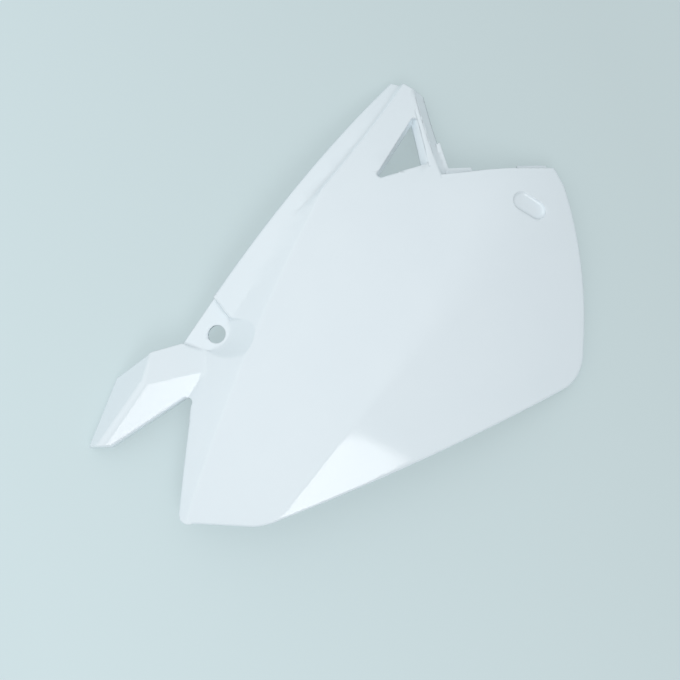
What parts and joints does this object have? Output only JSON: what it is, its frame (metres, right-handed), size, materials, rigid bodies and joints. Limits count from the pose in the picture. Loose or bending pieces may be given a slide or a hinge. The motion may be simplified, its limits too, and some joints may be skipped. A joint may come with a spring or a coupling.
{
  "type": "motorcycle side panel",
  "caption": "Left-hand motorcycle side panel: a thin crowned plastic cover with a diagonal fold, a forward horn, a sunk bolt pad and a windowed arm up to the seat.",
  "frame": {"origin": "under the middle of the panel's bounding box, level with the lowest points it lies on", "axes": "+X to the rear of the bike along the panel, +Y up the bike, +Z out of the panel's outer face"},
  "size_m": [0.4462, 0.2962, 0.0579],
  "materials": {
    "white_plastic": "smooth moulded white polypropylene with a soft gloss"
  },
  "bodies": {
    "root": {"side_panel": "white_plastic"}
  },
  "joints": []
}
